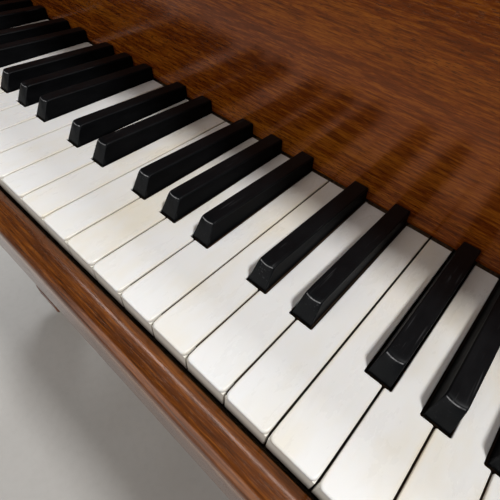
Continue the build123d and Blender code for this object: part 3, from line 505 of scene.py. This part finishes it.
# ------------------------------------------------------------------ mesh helpers
def add_object(name, verts, faces, mats, idx=None, sharp=30.0, body=None):
    me = bpy.data.meshes.new(name)
    me.from_pydata([tuple(c * MM for c in v) for v in verts], [], faces)
    for m in mats:
        me.materials.append(m)
    if idx is not None:
        me.polygons.foreach_set("material_index", idx)
    bm = bmesh.new(); bm.from_mesh(me)
    bmesh.ops.recalc_face_normals(bm, faces=bm.faces)
    bm.to_mesh(me); bm.free()
    me.polygons.foreach_set("use_smooth", [True] * len(me.polygons))
    me.set_sharp_from_angle(angle=math.radians(sharp))
    o = bpy.data.objects.new(name, me)
    scene.collection.objects.link(o)
    w = o.modifiers.new("weighted", "WEIGHTED_NORMAL")
    w.keep_sharp = True
    w.weight = 80
    if body:
        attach(o, body)
    return o


class Mesh:
    def __init__(self):
        self.v, self.f, self.i = [], [], []

    def grid(self, rows, mat, close_u=False, mats=None):
        """rows: list of equally long lists of points."""
        k = len(self.v)
        w = len(rows[0])
        for r in rows:
            self.v += r
        for j in range(len(rows) - 1):
            for i in range(w if close_u else w - 1):
                a, b = k + j * w + i, k + j * w + (i + 1) % w
                self.f.append((a, b, b + w, a + w))
                self.i.append(mats[j][i] if mats else mat)

    def ngon(self, pts, mat):
        k = len(self.v)
        self.v += pts
        self.f.append(tuple(range(k, k + len(pts))))
        self.i.append(mat)

    def cap(self, start, count, mat, rev=False):
        f = tuple(range(start, start + count))
        self.f.append(f[::-1] if rev else f)
        self.i.append(mat)


def offset_ring(pts, rads):
    """Moves each point of a closed counter-clockwise outline inward by its own distance, mitred."""
    out = []
    n = len(pts)
    for i in range(n):
        p, a, b = pts[i], pts[i - 1], pts[(i + 1) % n]
        d1 = Vector((p[0] - a[0], p[1] - a[1])).normalized()
        d2 = Vector((b[0] - p[0], b[1] - p[1])).normalized()
        n1, n2 = Vector((-d1.y, d1.x)), Vector((-d2.y, d2.x))
        m = n1 + n2
        m = m / max(m.dot(m) / 2, 0.2)
        out.append((p[0] + m.x * rads[i], p[1] + m.y * rads[i]))
    return out


# ------------------------------------------------------------------ naturals and sharps
def add_natural(M, n):
    _, pc, x = NOTES[n]
    x0, x1 = x + 0.5, x + PITCH - 0.5
    t0, t1 = tail_range(n)
    R, HL, TE = 2.6, 49.2, 145.0
    rng = np.random.RandomState(1000 + n)
    pts, rad = [], []

    def arc(cx, cy, a0, a1, r, k, rr):
        for i in range(k + 1):
            a = math.radians(a0 + (a1 - a0) * i / k)
            pts.append((cx + r * math.cos(a), cy + r * math.sin(a))); rad.append(rr)
    EH, ET = 1.15, 0.55
    arc(x0 + R, R, 180, 270, R, 7, EH)
    # three more points along the straight front edge
    for t in (0.25, 0.5, 0.75):
        pts.append((x0 + R + (x1 - x0 - 2 * R) * t, 0.0)); rad.append(EH)
    arc(x1 - R, R, 270, 360, R, 7, EH)
    pts.append((x1, 7.0)); rad.append(0.55)
    if t1 < x1 - 0.1:
        arc(x1 - 0.7, HL - 0.7, 0, 90, 0.7, 3, 0.6)
        pts.append((t1 + 0.5, HL)); rad.append(0.6)
        pts.append((t1, HL + 0.5)); rad.append(0.6)
    pts.append((t1, TE)); rad.append(ET)
    pts.append((t0, TE)); rad.append(ET)
    if t0 > x0 + 0.1:
        pts.append((t0, HL + 0.5)); rad.append(0.6)
        pts.append((t0 - 0.5, HL)); rad.append(0.6)
        arc(x0 + 0.7, HL - 0.7, 90, 180, 0.7, 3, 0.6)
    pts.append((x0, 7.0)); rad.append(0.55)
    T = 2.5
    cnt = len(pts)
    rows = [[(p[0], p[1], -T) for p in pts]]
    K = 5
    for k in range(K + 1):
        a = math.pi / 2 * k / K
        ring = offset_ring(pts, [r * (1 - math.cos(a)) for r in rad])
        rows.append([(q[0], q[1], -r + r * math.sin(a)) for q, r in zip(ring, rad)])
    k0 = len(M.v)
    rows.insert(1, [(p[0], p[1], -1.05 - r * 0.25) for p, r in zip(pts, rad)])
    # the long lower sides of each top get the painted gap shade
    side = [2 if min(pts[i][1], pts[(i + 1) % cnt][1]) > 3.2 else 0 for i in range(cnt)]
    M.grid([[(p[0], p[1] + KY, p[2] + KZ) for p in r] for r in rows], 0, close_u=True, mats=[side] + [[0] * cnt for _ in rows[2:]])
    M.cap(k0 + (len(rows) - 1) * cnt, cnt, 0)
    M.cap(k0, cnt, 0, rev=True)
    # apron with softened corners
    z0, z1, y0, y1, c = -14.2, -T, 0.35, 2.35, 0.25
    a = [(x0, y1), (x0, y0 + c), (x0 + c, y0), (x1 - c, y0), (x1, y0 + c), (x1, y1)]
    k0 = len(M.v)
    M.grid([[(p[0], p[1] + KY, z + KZ) for p in q] for q, z in ((offset_ring(a, [c] * 6), z0), (a, z0 + c), (a, z1))], 1, close_u=True)
    M.cap(k0, 6, 1, rev=True)
    M.cap(k0 + 12, 6, 1)


SHARP_ST = [(50.5, -1.0), (50.5, 0.3), (50.62, 0.9), (51.15, 2.1), (51.95, 3.7), (52.85, 5.4), (53.75, 7.1), (54.65, 8.75), (55.4, 10.05), (56.0, 10.95),
            (56.45, 11.5), (56.85, 11.85), (57.35, 12.12), (58.0, 12.3), (59.2, 12.4), (61.5, 12.36), (70.0, 12.06), (90.0, 11.35), (115.0, 10.46),
            (146.0, 9.36), (146.6, 8.9)]
CREASE = 10                 # the row painted with a highlight


def add_sharp(M, n):
    x = NOTES[n][2]
    wb, H = 5.65, 12.5
    rows, mats = [], []
    NU = 6
    for j, (y, h) in enumerate(SHARP_ST):
        def wh(z):
            # the sides draw in towards the top
            return wb - 1.0 * (z + 1.0) / (H + 1.0)
        r = min(0.85, max(0.05, (h + 1.0) * 0.16))
        if y > 58.5:
            r = 1.0
        half = [(-wh(-1.0), -1.0), (-wh(h - r), h - r)]
        for k in range(1, NU + 1):
            a = math.pi / 2 * k / NU
            half.append((-wh(h - r) + r * (1 - math.cos(a)), h - r + r * math.sin(a)))
        flat = wh(h - r) - r
        for t in (0.66, 0.33):
            half.append((-flat * t, h))
        row = half + [(0.0, h)] + [(-p[0], p[1]) for p in reversed(half)]
        f = max(0.0, min(1.0, (h - 1.0) / 9.5)) * (1.0 if y < 60 else max(0.0, 1 - (y - 60) / 9.0))
        out = []
        for px, pz in row:
            u = px / 4.5
            b = 1.0 * f * max(0.0, 1 - u * u) * max(0.0, min(1.0, pz / 6.0))
            out.append((x + px, KY + y - b, KZ + pz))
        rows.append(out)
    w = len(rows[0])
    for j in range(len(rows) - 1):
        # the crease row gets the painted highlight
        # the long sides below the top get the darker side material, painted shade
        mats.append([1 if (j == CREASE and 7 <= i <= w - 9) else 2 if i in (0, w - 2) and j > 4 else 0 for i in range(w)])
    k0 = len(M.v)
    M.grid(rows, 0, mats=mats)
    M.cap(k0, w, 0)
    M.cap(k0 + (len(rows) - 1) * w, w, 0, rev=True)
    # underside
    k = len(rows)
    M.f.append(tuple([k0 + j * w for j in range(k)] + [k0 + j * w + w - 1 for j in reversed(range(k))])); M.i.append(0)


def sticks_of(node, white):
    """The wooden sticks, from the CAD node itself, without the tops."""
    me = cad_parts[node].data
    co = np.zeros(len(me.vertices) * 3, np.float32); me.vertices.foreach_get("co", co); co = co.reshape(-1, 3) / MM
    top = KZ - (2.5 if white else 1.0)
    v, f = [], []
    key = {}
    for p in me.polygons:
        c = co[list(p.vertices)]
        if white:
            if c[:, 2].max() > top + 0.01 and c[:, 1].min() < KY + 300:
                continue
            if c[:, 1].min() < KY + 2.39:
                continue
            if p.normal.z < -0.9 and abs(c[:, 2].mean() - top) < 0.02:
                continue
        else:
            if c[:, 2].max() > top + 0.01 and c[:, 1].min() < KY + 300:
                continue
            if p.normal.z < -0.9 and abs(c[:, 2].mean() - top) < 0.02:
                continue
        idx = []
        for q in c:
            k = tuple(np.round(q, 2))
            if k not in key:
                key[k] = len(v); v.append(tuple(float(t) for t in q))
            idx.append(key[k])
        if len(set(idx)) == len(idx):
            f.append(tuple(idx))
    return v, f


def key_piece(node, notes):
    white = NOTES[notes[0]][0]
    M = Mesh()
    for n in notes:
        (add_natural if white else add_sharp)(M, n)
    body = node
    mats = [M_WHITE, M_FRONT, M_GAP_SHADE] if white else [M_BLACK, M_CREASE_HIGHLIGHT, M_SIDE_SHADED]
    o = add_object(node + "_tops" if len(notes) > 1 else node + "_top", M.v, M.f, mats, M.i, sharp=40.0, body=body)
    v, f = sticks_of(node, white)
    s = add_object(node + ("_sticks" if len(notes) > 1 else "_stick"), v, f, [M_STICK_SHADED], None, sharp=30.0, body=body)
    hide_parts(node)
    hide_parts(node)
    return o, s


for n in range(32, 48):
    key_piece(f"key_{NAMES[(n + 9) % 12]}{(n + 9) // 12}", [n])
key_piece("bass_naturals", [n for n in range(32) if NOTES[n][0]])
key_piece("bass_sharps", [n for n in range(32) if not NOTES[n][0]])
key_piece("treble_naturals", [n for n in range(48, 88) if NOTES[n][0]])
key_piece("treble_sharps", [n for n in range(48, 88) if not NOTES[n][0]])

# ------------------------------------------------------------------ key slip, with its rounded and worn edges
def slip_profile():
    p = [(-2.0, -64.0), (-2.0, -40.0), (-2.0, -12.5)]
    for k in range(1, 13):
        a = math.pi / 2 * k / 12
        p.append((-2 - 7.0 * (1 - math.cos(a)), -12.5 + 4.5 * math.sin(a)))
    # the top is a touch crowned
    p += [(-10.2, -7.98), (-12.0, -7.98), (-13.5, -8.0)]
    for k in range(1, 15):
        a = math.pi / 2 * k / 14
        p.append((-13.5 - 6 * math.sin(a), -14 + 6 * math.cos(a)))
    p += [(-18.6, -38.0), (-17.5, -63.5), (-17.2, -64.0)]
    return p


M = Mesh()
prof = slip_profile()
x_ends = 676.5
xs = [-x_ends, x_ends]
rows = [[(x, KY + y, KZ + z) for y, z in prof] for x in np.linspace(-x_ends, x_ends, 60)]
k0 = len(M.v)
M.grid(rows, 0, close_u=True)
M.cap(k0, len(prof), 0); M.cap(k0 + (len(rows) - 1) * len(prof), len(prof), 0, rev=True)
slip = add_object("key_slip_rail", M.v, M.f, [M_SLIP], None, sharp=35.0, body="case")
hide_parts("key_slip")

# ------------------------------------------------------------------ finishes on the CAD nodes
smooth(assign("fallboard", M_FB))
for n in ("music_shelf", "music_desk", "key_blocks", "lid_flap"):
    smooth(assign(n, M_CASE_X))
for n in ("lid",):
    smooth(assign(n, M_CASE_Y))
smooth(assign("rim", M_RIM))
smooth(assign("keybed", M_BED))
smooth(assign("case_rails", M_RAILS))
for n in ("legs", "lyre"):
    smooth(assign(n, M_CASE_Z))
smooth(assign("lid_prop", M_CASE_Y))
smooth(assign("desk_rails", M_CASE_Y))
for n in ("inner_rim", "key_frame"):
    smooth(assign(n, M_BEECH))
for n in ("bridges", "pin_block", "action"):
    smooth(assign(n, M_MAPLE))
smooth(assign("hammers", M_HAMMER))
smooth(assign("soundboard", M_SPRUCE))
smooth(assign("iron_plate", M_PLATE))
smooth(assign("tuning_and_hitch_pins", M_STEEL))
smooth(assign("plain_strings", M_STEEL))
smooth(assign("wound_strings", M_WOUND))
smooth(assign("dampers", M_DAMPER))
for n in ("lyre_braces", "lid_hinges", "soft_pedal", "sostenuto_pedal", "damper_pedal"):
    smooth(assign(n, M_BRASS))
for n in ("soft_rod", "sostenuto_rod", "damper_rod"):
    smooth(assign(n, M_STEEL))
for c in ("bass", "treble", "tail"):
    smooth(assign(f"{c}_caster_fork", M_BRASS))
    smooth(assign(f"{c}_caster_wheel", M_BRASS))

# ------------------------------------------------------------------ floor and light
bpy.ops.mesh.primitive_plane_add(size=14, location=(0, 0, 0))
floor = bpy.context.object
floor.name = "floor"
floor.data.materials.append(mat_floor())

world = bpy.data.worlds.new("studio")
scene.world = world
world.use_nodes = True
bg = world.node_tree.nodes["Background"]
bg.inputs[0].default_value = (0.97, 0.95, 0.92, 1.0)
bg.inputs[1].default_value = 0.08


def area(name, loc, target, size, power, color=(1, 1, 1), size_y=None):
    d = bpy.data.lights.new(name, "AREA")
    d.energy = power
    d.color = color
    d.shape = "RECTANGLE"
    d.size = size
    d.size_y = size_y or size
    o = bpy.data.objects.new(name, d)
    scene.collection.objects.link(o)
    o.location = loc
    o.rotation_euler = (Vector(target) - Vector(loc)).to_track_quat("-Z", "Y").to_euler()
    return o


T = (0.0, -0.66, 0.73)
# the main light stands to the right and a little behind, so the fallboard shades the key tails and each sharp throws a short shadow to the left
area("key", (1.02, -0.48, 2.93), T, 0.30, 45, (1.0, 0.99, 0.972))
area("rear", (-0.75, 0.62, 2.85), (-0.75, -0.66, 0.73), 2.7, 58, (0.98, 0.99, 1.0), 0.70)
area("front_high", (-0.75, -2.6, 2.7), (-0.75, -0.72, 0.73), 2.7, 10, (1.0, 0.985, 0.965), 0.5)
area("front", (-0.7, -3.1, 1.6), (-0.7, -0.70, 0.75), 2.6, 28, (1.0, 0.985, 0.965), 2.2)
area("back", (0.4, 3.2, 2.6), (0, 0.2, 0.8), 2.4, 45, (1.0, 0.99, 0.97))

# ------------------------------------------------------------------ felt strip under the fallboard's lower edge
M_FELT = mat_felt("nameboard_felt", (0.006, 0.005, 0.005), (0.012, 0.009, 0.009))
M = Mesh()
sec = [(147.55, 0.75), (147.45, 0.35), (147.8, 0.10), (149.5, 0.02), (155.0, 0.05), (156.0, 0.3), (156.0, 0.75)]
rows = [[(x, KY + y + 0.10 * math.sin(x * 0.11 + 2 * y), KZ + z) for y, z in sec] for x in np.linspace(-612, 612, 200)]
k0 = len(M.v)
M.grid(rows, 0, close_u=True)
M.cap(k0, len(sec), 0); M.cap(k0 + (len(rows) - 1) * len(sec), len(sec), 0, rev=True)
felt = add_object("nameboard_felt", M.v, M.f, [M_FELT], None, sharp=50.0, body="fallboard")

vs = scene.view_settings
vs.view_transform = "Standard"
vs.look = "None"
vs.exposure = 0.0
